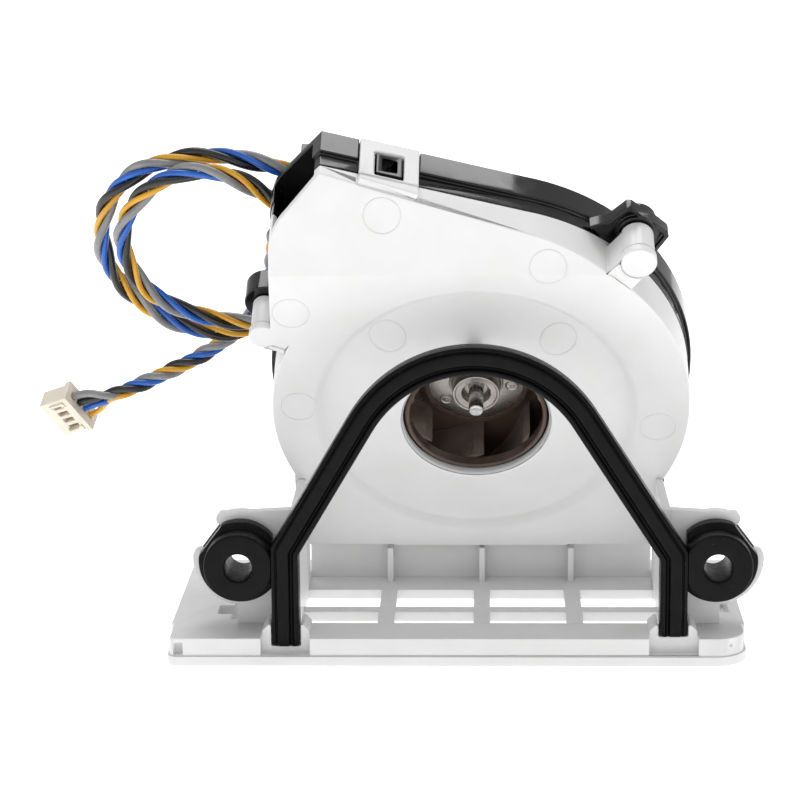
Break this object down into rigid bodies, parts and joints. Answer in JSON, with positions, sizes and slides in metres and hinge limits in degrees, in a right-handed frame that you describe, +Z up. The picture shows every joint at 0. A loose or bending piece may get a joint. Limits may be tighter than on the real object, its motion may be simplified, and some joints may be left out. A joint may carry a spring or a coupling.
{
  "type": "suction fan module",
  "caption": "Leaning centrifugal suction fan on an intake grille base, with a rubber arch seal, two rubber grommet mounts and a short twisted wire harness.",
  "frame": {"origin": "on the bottom face of the grille's front bar, 0.5 mm right of the midpoint between the two grommet axes", "axes": "+X right, +Y away from the front face, +Z up; the fan's inlet faces -Y and leans 30 degrees down"},
  "size_m": [0.1505, 0.0646, 0.1035],
  "materials": {
    "white_plastic": "satin moulded ABS",
    "black_gloss": "glossy moulded",
    "rubber": "satin moulded rubber",
    "smoky_plastic": "translucent smoky brown",
    "hub_metal": "fine turned, grey",
    "steel": "ground steel",
    "magnet": "bonded ferrite",
    "brass": "turned",
    "copper": "enamelled copper wire",
    "insulator": "moulded",
    "board": "solder mask",
    "chip": "moulded epoxy",
    "cast_metal": "die cast",
    "screw": "zinc plated",
    "wire": "PVC insulation",
    "ivory": "moulded nylon",
    "contact": "tin plated"
  },
  "bodies": {
    "housing": {"front_cover": "white_plastic", "rear_housing": "black_gloss", "intake_base": "white_plastic", "intake_grille": "white_plastic", "chamber_walls": "white_plastic", "clip_left": "white_plastic", "clip_right": "white_plastic", "arch_frame": "white_plastic", "arch_seal": "rubber", "grommet_left": "rubber", "grommet_right": "rubber", "bearing_tube": "brass", "front_bearing": "steel", "rear_bearing": "steel", "preload_spring": "steel", "stator_core": "steel", "stator_insulator": "insulator", "stator_coils": "copper", "motor_board": "board", "board_parts": "chip", "motor_bracket": "cast_metal", "bracket_screws": "screw", "housing_screws": "screw", "wire_gland": "rubber", "harness_cord": "wire", "plug_housing": "ivory", "plug_contacts": "contact"},
    "rotor": {"impeller": "smoky_plastic", "impeller_blades": "smoky_plastic", "impeller_shroud": "smoky_plastic", "rotor_hub": "hub_metal", "rotor_cup": "steel", "rotor_magnet": "magnet", "shaft": "steel", "shaft_clip": "steel"}
  },
  "joints": [
    {"name": "rotor_spin", "type": "hinge", "parent": "housing", "child": "rotor", "pos_m": [-0.0008, 0.0194, 0.0444], "axis": [0, -0.866, -0.5], "continuous": true}
  ]
}
